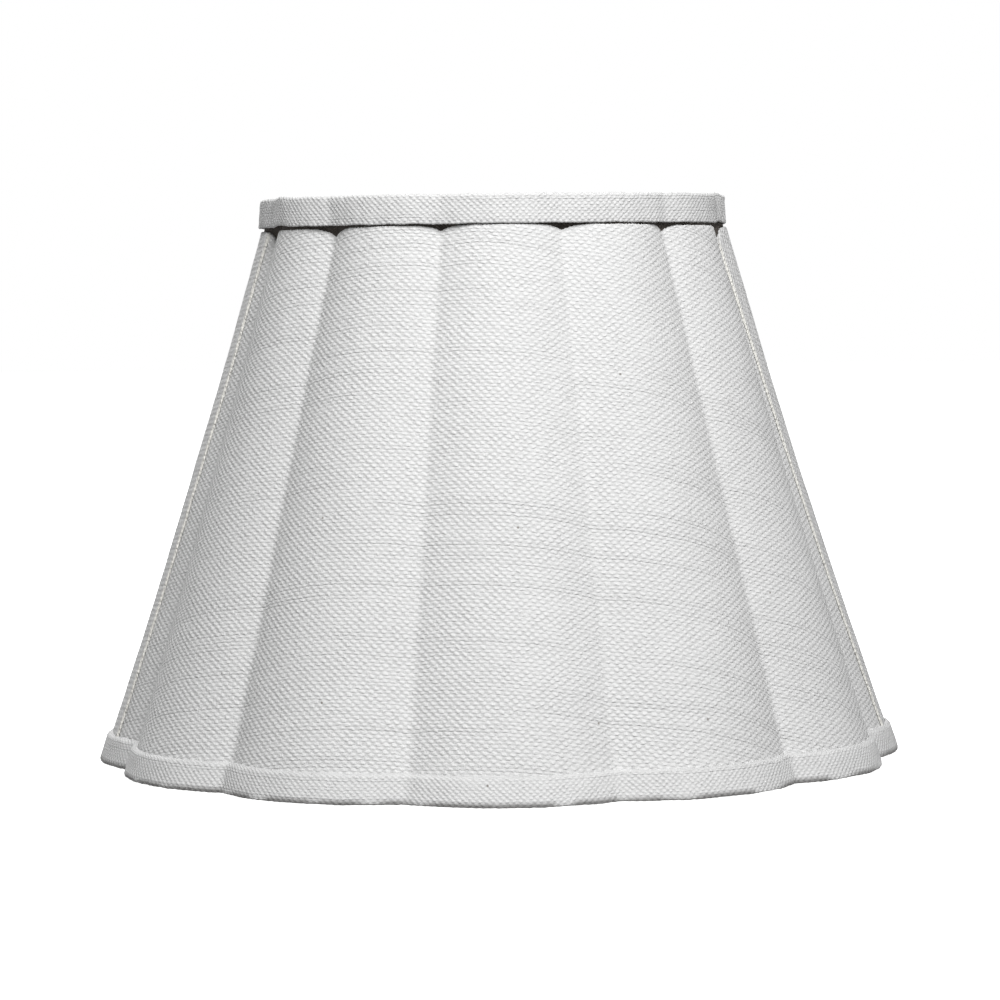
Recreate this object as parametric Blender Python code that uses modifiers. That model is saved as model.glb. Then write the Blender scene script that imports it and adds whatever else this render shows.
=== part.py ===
"""Scalloped empire lamp shade: linen cover over a lobed wire frame with a spider fitter.

Z = 0 is the plane the shade stands on, +Z is up, and the shade's axis is the Z axis.
Angles are measured from -Y, the front, where one lobe has its crest.
Every ring, band and sheet follows the same lobes: each lobe is a circular arc in plan,
and neighbouring arcs meet in a valley. A layer is placed by its inset, the distance
from the outside of the cover measured square to the cloth.
"""
import math

import bmesh
import bpy
from mathutils import Vector

# overall sizes, metres
HEIGHT = 0.248
BOTTOM_CREST_RADIUS = 0.1779   # cover's outside over a lobe crest, carried down to Z = 0
TOP_CREST_RADIUS = 0.1000      # the same, carried up to Z = HEIGHT
LOBES = 12
LOBE_HALF_ANGLE = math.radians(42.0)   # half of the arc that each lobe spans at either rim
CREST_SAG = 0.0021             # cloth between the rings pulls in by this much at mid height

# materials and fits
CLOTH = 0.0009
LINING = 0.0005
TAPE = 0.0005
RING_WIRE = 0.0030
RIB_WIRE = 0.0026
ARM_WIRE = 0.0030
FIT_GAP = 0.0003               # clearance left between pieces that touch
LINING_EASE = 0.0006           # clearance between a rib and the lining

# bands
TOP_BAND_HEIGHT = 0.0125
BOTTOM_BAND_HEIGHT = 0.0123
TOP_BAND_PROUD = 0.0012        # how far the top band's lower edge stands out from the cover
TOP_BAND_LEAN = 0.0005         # the band's upper edge stands in by this much
BOTTOM_BAND_PROUD = 0.0019
TOP_BAND_VALLEY = 0.00305      # depth of the band's own shallow valleys below its crests
BOTTOM_BAND_VALLEY = 0.0088
TOP_BAND_THICKNESS = 0.0015
BOTTOM_BAND_THICKNESS = 0.0012
TOP_BAND_HAUNCH = 0.0030       # thickness where the top band's skirt turns into its lip
BOTTOM_BAND_FLARE = 0.75       # share of the cover's own slope that the bottom band takes
BAND_LIP = 0.0010              # thickness of the part folded over the wire
BAND_CORNER = 0.0012

# cover edges
HEM_TUCK = 0.0012              # the hem is drawn in by this much under the bottom band
FRONT_REVEAL = 0.0008          # gap under the top band at the front crest
SIDE_REVEAL = 0.0011           # what the gap grows by towards the sides
FRONT_NOTCH = 0.0025           # drop of the cover's upper edge in a front valley
SIDE_NOTCH = 0.0036            # what that drop grows by towards the sides
SEAM_ANGLE_TOP = math.radians(79.0)
SEAM_ANGLE_BOTTOM = math.radians(82.5)

# tapes wound over the rings
TOP_TAPE_DROP = 0.0230         # outer leg of the neck tape, below the rim
BOTTOM_TAPE_RISE = 0.0100      # outer leg of the foot tape, above the rim
TAPE_INNER_LEG = 0.0050        # inner leg, from the ring's centre
LINING_HEAD_GAP = 0.0012       # from the underside of an arm to the lining
LINING_FOOT_GAP = 0.0006       # from the lower tape's inner leg to the lining

# spider
WASHER_RADIUS = 0.0140
WASHER_HOLE_RADIUS = 0.0055
WASHER_THICKNESS = 0.0020
WASHER_DROP = 0.0180           # from the rim to the washer's centre plane
ARMS = 3
ARM_BEND = 0.0050              # length of the bend where an arm leaves the ring

# mesh fineness
LOBE_COLUMNS = 7
COVER_ROWS = 6
WIRE_SIDES_RESOLUTION = 2
RIB_SIDES = 12
WASHER_SIDES = 48
TAPE_TURN_STEPS = 6            # facets of a tape's half turn over its ring
ARM_BEND_STEPS = 4
ARM_RUN_STEPS = 6
FOLD_CREASE = math.radians(25)      # a sheet's edges sharper than this stay sharp
TURNED_CREASE = math.radians(40)    # the same for a rib

HALF_PITCH = math.pi / LOBES
CREST_TO_VALLEY = math.cos(HALF_PITCH) + math.sin(HALF_PITCH) * math.tan(LOBE_HALF_ANGLE / 2)
TOP_VALLEY_RADIUS = TOP_CREST_RADIUS / CREST_TO_VALLEY
BOTTOM_VALLEY_RADIUS = BOTTOM_CREST_RADIUS / CREST_TO_VALLEY

TAPE_OUTER_INSET = CLOTH + FIT_GAP
RING_INSET = TAPE_OUTER_INSET + TAPE + FIT_GAP + RING_WIRE / 2
FOOT_RING_INSET = HEM_TUCK + RING_INSET
WRAP = RING_WIRE / 2 + FIT_GAP + TAPE          # tape's outside from the ring's centre
TOP_RING_Z = HEIGHT - BAND_LIP - FIT_GAP - WRAP
BOTTOM_RING_Z = BAND_LIP + FIT_GAP + WRAP
BAND_BOTTOM_Z = HEIGHT - TOP_BAND_HEIGHT
LINING_OFFSET = RIB_WIRE / 2 + LINING_EASE
LINING_TOP_Z = TOP_RING_Z - TAPE_INNER_LEG - ARM_WIRE - LINING_HEAD_GAP
LINING_BOTTOM_Z = BOTTOM_RING_Z + TAPE_INNER_LEG + LINING_FOOT_GAP


def plan(crest, valley):
    """Centre distance and radius of the arc through a crest and its two valleys."""
    sagitta = crest - valley * math.cos(HALF_PITCH)
    half_chord = valley * math.sin(HALF_PITCH)
    radius = (sagitta ** 2 + half_chord ** 2) / (2 * sagitta)
    return crest - radius, radius


def cloth_plan(z):
    """Plan of the cover's outside at height z: taut valleys, slightly slack crests."""
    rise = z / HEIGHT
    crest = BOTTOM_CREST_RADIUS + (TOP_CREST_RADIUS - BOTTOM_CREST_RADIUS) * rise
    valley = BOTTOM_VALLEY_RADIUS + (TOP_VALLEY_RADIUS - BOTTOM_VALLEY_RADIUS) * rise
    return plan(crest - CREST_SAG * 4 * rise * (1 - rise), valley)


def inset_plan(outline, inset):
    """The parallel curve that lies inside an outline by the inset."""
    return outline[0], outline[1] - inset


def crest_radius(outline):
    return outline[0] + outline[1]


def radius_at(outline, angle):
    """Distance of an outline from the axis in one direction."""
    centre, radius = outline
    turn = (angle + HALF_PITCH) % (2 * HALF_PITCH) - HALF_PITCH
    return centre * math.cos(turn) + math.sqrt(radius ** 2 - (centre * math.sin(turn)) ** 2)


def place(radius, angle, z):
    """Point at a radius, an angle from the front and a height."""
    return Vector((radius * math.sin(angle), -radius * math.cos(angle), z))


def lobe_angles(start, end):
    """Angles from start to end, with a column in every valley and evenly between."""
    step = 2 * HALF_PITCH / LOBE_COLUMNS
    first = math.floor((start - HALF_PITCH) / step) + 1
    inner = []
    index = first
    while HALF_PITCH + index * step < end - step / 4:
        angle = HALF_PITCH + index * step
        if angle > start + step / 4:
            inner.append(angle)
        index += 1
    return [start] + inner + [end]


def whole_turn():
    return lobe_angles(HALF_PITCH, HALF_PITCH + 2 * math.pi)


def seam_angle(z):
    """Direction of the side seams, which drift towards the crest lower down."""
    return SEAM_ANGLE_BOTTOM + (SEAM_ANGLE_TOP - SEAM_ANGLE_BOTTOM) * z / HEIGHT


def cover_top(angle):
    """Height of the cover's upper edge, which dips in the valleys and at the sides."""
    side = math.sin(angle) ** 2
    turn = (angle + HALF_PITCH) % (2 * HALF_PITCH) - HALF_PITCH
    near = max(0.0, 1 - (HALF_PITCH - abs(turn)) * LOBE_COLUMNS / (2 * HALF_PITCH))
    notch = (FRONT_NOTCH + SIDE_NOTCH * side) * near
    return BAND_BOTTOM_Z - FRONT_REVEAL - SIDE_REVEAL * side - notch


def new_collection(name):
    collection = bpy.data.collections.new(name)
    bpy.context.scene.collection.children.link(collection)
    return collection


def material(name, color, roughness, metallic=0.0):
    finish = bpy.data.materials.new(name)
    finish.use_nodes = True
    shader = finish.node_tree.nodes["Principled BSDF"]
    shader.inputs["Base Color"].default_value = (*color, 1.0)
    shader.inputs["Roughness"].default_value = roughness
    shader.inputs["Metallic"].default_value = metallic
    return finish


def add_object(name, data, finish, collection):
    piece = bpy.data.objects.new(name, data)
    data.materials.append(finish)
    collection.objects.link(piece)
    return piece


def move_to(piece, collection):
    """Put a new primitive in one collection only."""
    for home in list(piece.users_collection):
        home.objects.unlink(piece)
    collection.objects.link(piece)


def faces_inwards(work):
    """Whether an open sheet's faces look towards the axis."""
    outward = 0.0
    for face in work.faces:
        centre = face.calc_center_median()
        outward += face.normal.dot(Vector((centre.x, centre.y, 0)))
    return outward < 0


def grid_mesh(name, columns, rows, position, closed=False):
    """A grid whose vertices are moved to position(column, row), welded where it closes."""
    work = bmesh.new()
    bmesh.ops.create_grid(work, x_segments=columns, y_segments=rows, size=0.5)
    for vertex in work.verts:
        column = round((vertex.co.x + 0.5) * columns)
        row = round((vertex.co.y + 0.5) * rows)
        vertex.co = position(column, row)
    bmesh.ops.remove_doubles(work, verts=work.verts, dist=0.00001)
    bmesh.ops.recalc_face_normals(work, faces=work.faces)
    if not closed and faces_inwards(work):
        bmesh.ops.reverse_faces(work, faces=work.faces)
    mesh = bpy.data.meshes.new(name)
    work.to_mesh(mesh)
    work.free()
    mesh.shade_smooth()
    mesh.set_sharp_from_angle(angle=FOLD_CREASE)
    return mesh


def sheet(name, angles_of, rows, thickness, finish, collection):
    """A lobed sheet thickened inwards. rows gives (height at angle, outline) pairs."""
    columns = len(angles_of(0.0)) - 1

    def position(column, row):
        height, outline = rows[row]
        rough_z = height(angles_of(0.0)[column])
        angle = angles_of(rough_z)[column]
        z = height(angle)
        return place(radius_at(outline(z), angle), angle, z)

    mesh = grid_mesh(name, columns, len(rows) - 1, position)
    piece = add_object(name, mesh, finish, collection)
    wall = piece.modifiers.new("wall", "SOLIDIFY")
    wall.thickness = thickness
    wall.offset = -1
    wall.use_even_offset = True
    return piece


def band(name, section, finish, collection):
    """A closed section of (height, outline) points carried once round the shade."""
    angles = whole_turn()
    points = section + section[:1]

    def position(column, row):
        z, outline = points[row]
        return place(radius_at(outline, angles[column]), angles[column], z)

    mesh = grid_mesh(name, len(angles) - 1, len(section), position, closed=True)
    return add_object(name, mesh, finish, collection)


def wire(name, points, diameter, cyclic, finish, collection):
    """A round wire through the points, made a closed mesh."""
    curve = bpy.data.curves.new(name, "CURVE")
    curve.dimensions = "3D"
    curve.bevel_depth = diameter / 2
    curve.bevel_resolution = WIRE_SIDES_RESOLUTION
    curve.use_fill_caps = not cyclic
    spline = curve.splines.new("POLY")
    spline.points.add(len(points) - 1)
    for target, point in zip(spline.points, points):
        target.co = (*point, 1.0)
    spline.use_cyclic_u = cyclic
    return add_object(name, curve, finish, collection)


def ring(name, z, inset, finish, collection):
    outline = inset_plan(cloth_plan(z), inset)
    angles = whole_turn()[:-1]
    points = [place(radius_at(outline, angle), angle, z) for angle in angles]
    return wire(name, points, RING_WIRE, True, finish, collection)


def ring_centre(z, inset, angle):
    return radius_at(inset_plan(cloth_plan(z), inset), angle)


def rib(number, finish, collection):
    """A straight strut in one valley, from the top ring to the bottom ring."""
    angle = HALF_PITCH + (number - 1) * 2 * HALF_PITCH
    reach = RING_WIRE / 2 + FIT_GAP
    upper = place(ring_centre(TOP_RING_Z, RING_INSET, angle), angle, TOP_RING_Z)
    lower = place(ring_centre(BOTTOM_RING_Z, FOOT_RING_INSET, angle), angle, BOTTOM_RING_Z)
    along = (upper - lower).normalized()
    upper -= along * reach
    lower += along * reach
    bpy.ops.mesh.primitive_cylinder_add(
        vertices=RIB_SIDES, radius=RIB_WIRE / 2, depth=(upper - lower).length,
        location=(upper + lower) / 2, rotation=along.to_track_quat("Z", "Y").to_euler())
    piece = bpy.context.active_object
    piece.name = f"rib_{number:02d}"
    piece.data.materials.append(finish)
    piece.data.shade_smooth()
    piece.data.set_sharp_from_angle(angle=TURNED_CREASE)
    move_to(piece, collection)
    return piece


def washer(finish, collection, cutters):
    """Flat washer with the hole that drops over the harp's stud."""
    centre_z = HEIGHT - WASHER_DROP
    bpy.ops.mesh.primitive_cylinder_add(
        vertices=WASHER_SIDES, radius=WASHER_RADIUS, depth=WASHER_THICKNESS,
        location=(0, 0, centre_z))
    piece = bpy.context.active_object
    piece.name = "spider_washer"
    piece.data.materials.append(finish)
    bpy.ops.mesh.primitive_cylinder_add(
        vertices=WASHER_SIDES, radius=WASHER_HOLE_RADIUS, depth=2 * WASHER_THICKNESS,
        location=(0, 0, centre_z))
    hole = bpy.context.active_object
    hole.name = "washer_hole_cutter"
    hole.hide_render = True
    hole.display_type = "WIRE"
    move_to(piece, collection)
    move_to(hole, cutters)
    cut = piece.modifiers.new("hole", "BOOLEAN")
    cut.object = hole
    cut.operation = "DIFFERENCE"
    cut.solver = "EXACT"
    return piece


def spider_arm(number, finish, collection):
    """Wire arm: down from the ring between the tape's legs, then in to the washer's rim."""
    angle = (number - 1) * 2 * math.pi / ARMS
    ring_radius = ring_centre(TOP_RING_Z, RING_INSET, angle)
    start_z = TOP_RING_Z - RING_WIRE / 2 - FIT_GAP
    run_z = TOP_RING_Z - TAPE_INNER_LEG - FIT_GAP - ARM_WIRE / 2
    washer_z = HEIGHT - WASHER_DROP
    profile = [(ring_radius, start_z)]
    for step in range(ARM_BEND_STEPS + 1):
        turn = step / ARM_BEND_STEPS * math.pi / 2
        profile.append((ring_radius - (1 - math.cos(turn)) * ARM_BEND / 2,
                        run_z + (1 - math.sin(turn)) * ARM_BEND / 2))
    outer = ring_radius - ARM_BEND
    inner = WASHER_RADIUS + ARM_WIRE
    for step in range(1, ARM_RUN_STEPS + 1):
        share = step / ARM_RUN_STEPS
        ease = share * share * (3 - 2 * share)
        profile.append((outer + (inner - outer) * share, run_z + (washer_z - run_z) * ease))
    profile.append((WASHER_RADIUS + FIT_GAP, washer_z))
    points = [place(radius, angle, z) for radius, z in profile]
    return wire(f"spider_arm_{number}", points, ARM_WIRE, False, finish, collection)


def cover_rows():
    """Rows of the cover from the tucked hem up to the notched upper edge."""
    rows = [(lambda angle: BOTTOM_RING_Z, lambda z: inset_plan(cloth_plan(z), HEM_TUCK))]
    for index in range(COVER_ROWS + 1):
        share = index / COVER_ROWS

        def height(angle, share=share):
            return BOTTOM_BAND_HEIGHT + (cover_top(angle) - BOTTOM_BAND_HEIGHT) * share

        rows.append((height, cloth_plan))
    return rows


def half_angles(front):
    """Column angles of one half, whose ends follow the seam."""
    step = 2 * HALF_PITCH / LOBE_COLUMNS
    clearance = FIT_GAP / 2 / TOP_CREST_RADIUS
    seam_low, seam_high = sorted((SEAM_ANGLE_TOP, SEAM_ANGLE_BOTTOM))
    before = HALF_PITCH + (math.ceil((seam_low - HALF_PITCH) / step - 0.5) - 1) * step
    after = HALF_PITCH + (math.floor((seam_high - HALF_PITCH) / step + 0.5) + 1) * step

    def angles_of(z):
        if front:
            end = seam_angle(z) - clearance
            middle = (before + end) / 2
            return [-end, -middle] + lobe_angles(-before, before) + [middle, end]
        start = seam_angle(z) + clearance
        middle = (start + after) / 2
        far = 2 * math.pi
        return [start, middle] + lobe_angles(after, far - after) + [far - middle, far - start]
    return angles_of


def cover(name, front, finish, collection):
    return sheet(name, half_angles(front), cover_rows(), CLOTH, finish, collection)


def lining(name, front, finish, collection):
    """Thin inner sheet between the two tapes, clear of the ribs."""
    def outline(z):
        rise = (z - BOTTOM_RING_Z) / (TOP_RING_Z - BOTTOM_RING_Z)
        inset = FOOT_RING_INSET + (RING_INSET - FOOT_RING_INSET) * rise + LINING_OFFSET
        return inset_plan(cloth_plan(z), inset)

    rows = []
    for index in range(COVER_ROWS + 1):
        z = LINING_BOTTOM_Z + (LINING_TOP_Z - LINING_BOTTOM_Z) * index / COVER_ROWS
        rows.append((lambda angle, z=z: z, outline))
    return sheet(name, half_angles(front), rows, LINING, finish, collection)


def tape(name, ring_z, ring_inset, outer_leg, upwards, finish, collection):
    """Tape folded over a ring: outer leg, round the wire, short inner leg."""
    sign = 1 if upwards else -1
    ring_plan = inset_plan(cloth_plan(ring_z), ring_inset)
    path = list(outer_leg)
    for step in range(TAPE_TURN_STEPS + 1):
        turn = step / TAPE_TURN_STEPS * math.pi
        path.append((ring_z + sign * WRAP * math.sin(turn),
                     inset_plan(ring_plan, -WRAP * math.cos(turn))))
    leg_z = ring_z - sign * TAPE_INNER_LEG
    leg_plan = min(ring_plan, inset_plan(cloth_plan(leg_z), ring_inset), key=crest_radius)
    path.append((leg_z, inset_plan(leg_plan, WRAP)))
    angles = whole_turn()

    def position(column, row):
        z, outline = path[row]
        return place(radius_at(outline, angles[column]), angles[column], z)

    mesh = grid_mesh(name, len(angles) - 1, len(path) - 1, position)
    probe = min(mesh.polygons, key=lambda face: sign * -face.center.z)
    if probe.normal.z * sign < 0:
        mesh.flip_normals()
    piece = add_object(name, mesh, finish, collection)
    wall = piece.modifiers.new("wall", "SOLIDIFY")
    wall.thickness = TAPE
    wall.offset = -1
    wall.use_even_offset = True
    return piece


def top_tape(finish, collection):
    low = HEIGHT - TOP_TAPE_DROP
    leg = [(z, inset_plan(cloth_plan(z), TAPE_OUTER_INSET)) for z in (low, BAND_BOTTOM_Z)]
    return tape("top_tape", TOP_RING_Z, RING_INSET, leg, True, finish, collection)


def bottom_tape(finish, collection):
    z = BOTTOM_TAPE_RISE
    leg = [(z, inset_plan(cloth_plan(z), HEM_TUCK + TAPE_OUTER_INSET))]
    return tape("bottom_tape", BOTTOM_RING_Z, FOOT_RING_INSET, leg, False, finish, collection)


def top_band(finish, collection):
    """Skirt with shallow valleys, and a lip folded in over the ring."""
    low = BAND_BOTTOM_Z
    crest = crest_radius(cloth_plan(low)) + TOP_BAND_PROUD
    skirt_low = plan(crest, crest - TOP_BAND_VALLEY)
    high_crest = crest - TOP_BAND_LEAN
    skirt_high = plan(high_crest, high_crest - TOP_BAND_VALLEY)
    ring_plan = inset_plan(cloth_plan(TOP_RING_Z), RING_INSET)
    lip_edge = inset_plan(ring_plan, WRAP)
    section = [
        (low, skirt_low),
        (HEIGHT - BAND_CORNER, skirt_high),
        (HEIGHT, inset_plan(skirt_high, BAND_CORNER)),
        (HEIGHT, lip_edge),
        (HEIGHT - BAND_LIP, lip_edge),
        (HEIGHT - BAND_LIP - FIT_GAP, inset_plan(skirt_high, TOP_BAND_HAUNCH)),
        (low, inset_plan(skirt_low, TOP_BAND_THICKNESS)),
    ]
    return band("top_band", section, finish, collection)


def bottom_band(finish, collection):
    """Skirt that stands proud of the cover, and a lip folded in under the ring."""
    high = BOTTOM_BAND_HEIGHT
    crest = crest_radius(cloth_plan(high)) + BOTTOM_BAND_PROUD
    lean = (BOTTOM_CREST_RADIUS - TOP_CREST_RADIUS) / HEIGHT * (high - BAND_CORNER)
    skirt_high = plan(crest, crest - BOTTOM_BAND_VALLEY)
    low_crest = crest + lean * BOTTOM_BAND_FLARE
    skirt_low = plan(low_crest, low_crest - BOTTOM_BAND_VALLEY)
    ring_plan = inset_plan(cloth_plan(BOTTOM_RING_Z), FOOT_RING_INSET)
    lip_edge = inset_plan(ring_plan, WRAP)
    section = [
        (high, skirt_high),
        (BAND_CORNER, skirt_low),
        (0.0, inset_plan(skirt_low, BAND_CORNER)),
        (0.0, lip_edge),
        (BAND_LIP, lip_edge),
        (BAND_LIP, inset_plan(skirt_low, BOTTOM_BAND_THICKNESS)),
        (high, inset_plan(skirt_high, BOTTOM_BAND_THICKNESS)),
    ]
    return band("bottom_band", section, finish, collection)


def build():
    for old in list(bpy.data.objects):
        bpy.data.objects.remove(old, do_unlink=True)
    shade = new_collection("lamp_shade")
    cutters = new_collection("cutters")
    linen = material("linen", (0.80, 0.79, 0.77), 0.95)
    lining_cloth = material("lining_cloth", (0.85, 0.84, 0.80), 0.9)
    dark_tape = material("dark_tape", (0.10, 0.085, 0.07), 0.95)
    frame_steel = material("frame_steel", (0.75, 0.74, 0.70), 0.4, 0.9)

    ring("top_ring", TOP_RING_Z, RING_INSET, frame_steel, shade)
    ring("bottom_ring", BOTTOM_RING_Z, FOOT_RING_INSET, frame_steel, shade)
    for number in range(1, LOBES + 1):
        rib(number, frame_steel, shade)
    washer(frame_steel, shade, cutters)
    for number in range(1, ARMS + 1):
        spider_arm(number, frame_steel, shade)
    top_tape(dark_tape, shade)
    bottom_tape(dark_tape, shade)
    lining("front_lining", True, lining_cloth, shade)
    lining("back_lining", False, lining_cloth, shade)
    cover("front_cover", True, linen, shade)
    cover("back_cover", False, linen, shade)
    top_band(linen, shade)
    bottom_band(linen, shade)


build()
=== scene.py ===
import math

import bpy
from mathutils import Matrix, Vector, noise


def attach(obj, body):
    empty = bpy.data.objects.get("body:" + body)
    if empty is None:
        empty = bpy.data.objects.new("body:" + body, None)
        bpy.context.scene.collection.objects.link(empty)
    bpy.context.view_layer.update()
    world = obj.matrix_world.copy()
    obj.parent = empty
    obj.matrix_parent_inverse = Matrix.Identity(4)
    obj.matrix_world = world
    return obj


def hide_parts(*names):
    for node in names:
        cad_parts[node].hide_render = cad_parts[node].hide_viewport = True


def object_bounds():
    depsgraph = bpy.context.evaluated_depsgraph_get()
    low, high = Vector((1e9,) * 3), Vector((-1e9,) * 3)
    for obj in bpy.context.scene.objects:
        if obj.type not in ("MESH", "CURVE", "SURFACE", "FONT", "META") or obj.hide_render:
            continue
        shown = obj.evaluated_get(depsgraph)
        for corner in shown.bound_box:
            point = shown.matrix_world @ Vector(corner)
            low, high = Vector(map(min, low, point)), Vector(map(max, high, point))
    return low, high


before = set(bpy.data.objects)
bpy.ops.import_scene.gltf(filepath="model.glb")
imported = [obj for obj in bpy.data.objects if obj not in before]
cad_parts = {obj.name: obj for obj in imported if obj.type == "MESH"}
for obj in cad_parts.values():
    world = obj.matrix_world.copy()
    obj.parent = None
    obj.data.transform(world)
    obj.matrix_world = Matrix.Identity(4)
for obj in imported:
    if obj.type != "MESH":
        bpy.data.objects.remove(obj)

print("frame loaded:", len(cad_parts), "nodes")
cadLow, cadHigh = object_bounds()

# Angles are measured from -Y, the front, towards +X. Lengths are metres.
# Every layer follows the same twelve lobes, each a circular arc in plan that meets
# its neighbours in a valley. Outside of the cover is inset 0.
form = {
    "lobes": 12,
    "height": cadHigh.z - cadLow.z,
    "bottomCrest": 0.1779,
    "topCrest": 0.1000,
    "lobeHalfAngle": math.radians(42),
    "crestSag": 0.0021,
    "valleySoftness": math.radians(0.55),
    "footRadius": 0.17,     # round figures, for turning a length along the cloth into an angle
    "taper": 0.07,
}
halfPitch = math.pi / form["lobes"]
crestToValley = math.cos(halfPitch) + math.sin(halfPitch) * math.tan(form["lobeHalfAngle"] / 2)


def arcThrough(crest, valley):  # centre distance and radius of one lobe's arc
    sagitta = crest - valley * math.cos(halfPitch)
    halfChord = valley * math.sin(halfPitch)
    radius = (sagitta ** 2 + halfChord ** 2) / (2 * sagitta)
    return crest - radius, radius


def clothArc(z):
    rise = z / form["height"]
    crest = form["bottomCrest"] + (form["topCrest"] - form["bottomCrest"]) * rise
    valley = crest / crestToValley
    return arcThrough(crest - form["crestSag"] * 4 * rise * (1 - rise), valley)


def insetArc(arc, inset):
    return arc[0], arc[1] - inset


def turnInLobe(angle):  # 0 at a crest, plus or minus halfPitch at the valleys
    return (angle + halfPitch) % (2 * halfPitch) - halfPitch


def reach(arc, angle):  # distance of the lobed outline from the axis
    turn = turnInLobe(angle)
    return arc[0] * math.cos(turn) + math.sqrt(arc[1] ** 2 - (arc[0] * math.sin(turn)) ** 2)


def softReach(arc, angle, softness):  # the same with its valleys rounded
    away = halfPitch - abs(turnInLobe(angle))
    if away > softness:
        return reach(arc, angle)
    total = weights = 0.0
    for step, weight in ((-1, 1), (-0.5, 2), (0, 2), (0.5, 2), (1, 1)):
        total += weight * reach(arc, angle + step * softness * (1 - away / softness))
        weights += weight
    return total / weights


def roughRadius(z):
    return form["footRadius"] - form["taper"] * z / form["height"]


def place(radius, angle, z):
    return Vector((radius * math.sin(angle), -radius * math.cos(angle), z))


def roundTo(angle):  # the same direction, between -180 and 180 degrees
    return math.remainder(angle, 2 * math.pi)


def ease(share):
    share = min(1.0, max(0.0, share))
    return share * share * (3 - 2 * share)


def girth(arc, angles):  # length round the outline up to each angle
    runs = [0.0]
    for first, second in zip(angles, angles[1:]):
        here = place(reach(arc, first), first, 0)
        there = place(reach(arc, second), second, 0)
        runs.append(runs[-1] + (there - here).length)
    return runs


rippleRadius = 0.13


def ripple(angle, z, size, seed):  # smooth irregularity, about -0.5 to 0.5, over lengths of size
    spot = place(rippleRadius, angle, z) / size
    return noise.noise(Vector((spot.x + seed, spot.y, spot.z)))


sheetSetup = {"weld": 0.000002, "smoothUpTo": math.radians(50)}


def clothSheet(name, columns, rows, point, cut, thickness, closed=False):
    bpy.ops.object.select_all(action="DESELECT")
    bpy.ops.mesh.primitive_grid_add(x_subdivisions=columns, y_subdivisions=rows, size=1)
    piece = bpy.context.active_object
    piece.name = name
    mesh = piece.data
    mesh.name = name
    where = [(round((v.co.x + 0.5) * columns), round((v.co.y + 0.5) * rows)) for v in mesh.vertices]
    for vertex, spot in zip(mesh.vertices, where):
        vertex.co = point(*spot)
    layer = mesh.uv_layers[0]
    layer.name = "cut"
    for loop in mesh.loops:
        layer.data[loop.index].uv = cut(*where[loop.vertex_index])
    if closed:
        bpy.ops.object.mode_set(mode="EDIT")
        bpy.ops.mesh.select_all(action="SELECT")
        bpy.ops.mesh.remove_doubles(threshold=sheetSetup["weld"])
        bpy.ops.object.mode_set(mode="OBJECT")
    wall = piece.modifiers.new("wall", "SOLIDIFY")
    wall.thickness = thickness
    wall.offset = -1
    bpy.ops.object.modifier_apply(modifier="wall")
    bpy.ops.object.shade_smooth_by_angle(angle=sheetSetup["smoothUpTo"])
    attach(piece, "root")
    return piece


cameraSetup = {
    "lens": 133.317,
    "sensor": 36,
    "nearest": 0.05,
    "farthest": 50,
    "distance": 1.6584,
    "height": 0.2141,
    "pitch": 0.0606,
    "roll": -0.0112,
    "rollHeight": 0.1193,
    "shift": -0.00139,
    "turn": 0.0326,
}


def makeCamera():
    c = cameraSetup
    pivot = Matrix.Translation((0, 0, c["rollHeight"]))
    stance = (pivot @ Matrix.Rotation(c["roll"], 4, "Y") @ pivot.inverted()
              @ Matrix.Translation((c["shift"], 0, 0)) @ Matrix.Rotation(c["turn"], 4, "Z"))
    bpy.ops.object.camera_add()
    camera = bpy.context.active_object
    camera.name = "camera"
    camera.data.lens = c["lens"]
    camera.data.sensor_width = c["sensor"]
    camera.data.clip_start = c["nearest"]
    camera.data.clip_end = c["farthest"]
    aim = Matrix.Translation((0, -c["distance"], c["height"])) @ Matrix.Rotation(
        math.pi / 2 - c["pitch"], 4, "X")
    camera.matrix_world = stance.inverted() @ aim
    bpy.context.scene.camera = camera


studio = {
    "floorSize": 14.0,
    "floorDrop": 0.0004,    # just under the foot, so that the two don't flicker
    "floorColour": (0.92, 0.92, 0.92, 1),
    "floorGlow": 1.0,
    "ambient": 0.25,
    "backdrop": 1.0,
    "key": {"place": (0.13, -1.02, 1.14), "size": 0.8, "power": 18.8},
    "back": {"place": (-0.4, 1.9, 1.3), "size": 1.4, "power": 30.0},
    "aim": (0, 0, 0.13),
}


def areaLight(name, setup):
    bpy.ops.object.light_add(type="AREA", location=setup["place"])
    lamp = bpy.context.active_object
    lamp.name = name
    lamp.data.shape = "DISK"
    lamp.data.size = setup["size"]
    lamp.data.energy = setup["power"]
    away = Vector(setup["place"]) - Vector(studio["aim"])
    lamp.rotation_euler = away.to_track_quat("Z", "Y").to_euler()


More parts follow.
